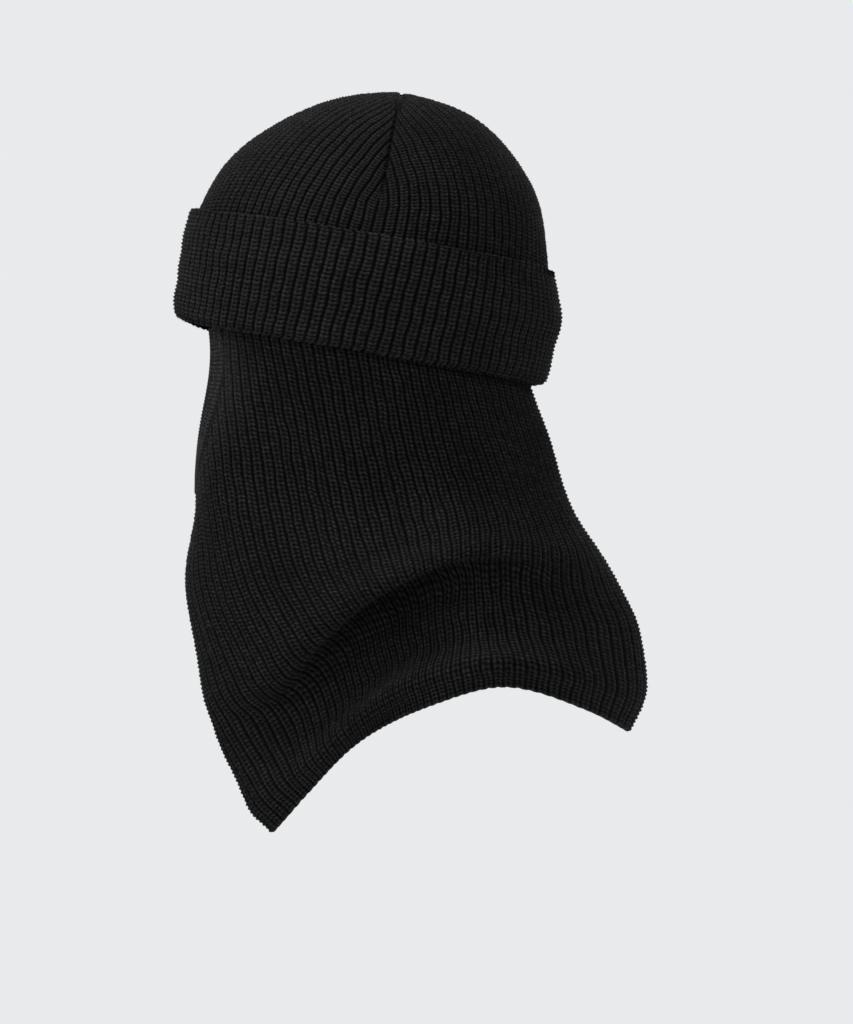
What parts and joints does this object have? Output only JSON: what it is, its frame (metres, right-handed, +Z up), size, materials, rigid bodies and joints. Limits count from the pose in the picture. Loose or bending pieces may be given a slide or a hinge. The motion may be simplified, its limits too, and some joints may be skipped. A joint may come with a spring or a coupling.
{
  "type": "balaclava",
  "caption": "Rib-knit balaclava: darted cap with a turned-up cuff and an attached neck cape with an oval face opening.",
  "frame": {"origin": "centre of the cuff, where the garment grips the widest girth of the wearer's head", "axes": "+Z up through the crown as worn, -Y the way the wearer faces, +X the wearer's left; the garment is symmetric about the plane X = 0"},
  "size_m": [0.2106, 0.2721, 0.4227],
  "materials": {
    "knit": "matt black wool-blend rib knit with a faint fibre sheen",
    "trim_knit": "matt black close-knit narrow band",
    "thread": "matt black linking yarn",
    "label_tape": "blank dark woven satin tape"
  },
  "bodies": {
    "root": {"crown": "knit", "cuff": "knit", "cape": "knit", "opening_trim": "trim_knit", "join_seam": "thread", "dart_seam_front": "thread", "dart_seam_left": "thread", "dart_seam_back": "thread", "dart_seam_right": "thread", "trim_seam": "thread", "back_seam": "thread", "care_label": "label_tape"}
  },
  "joints": []
}
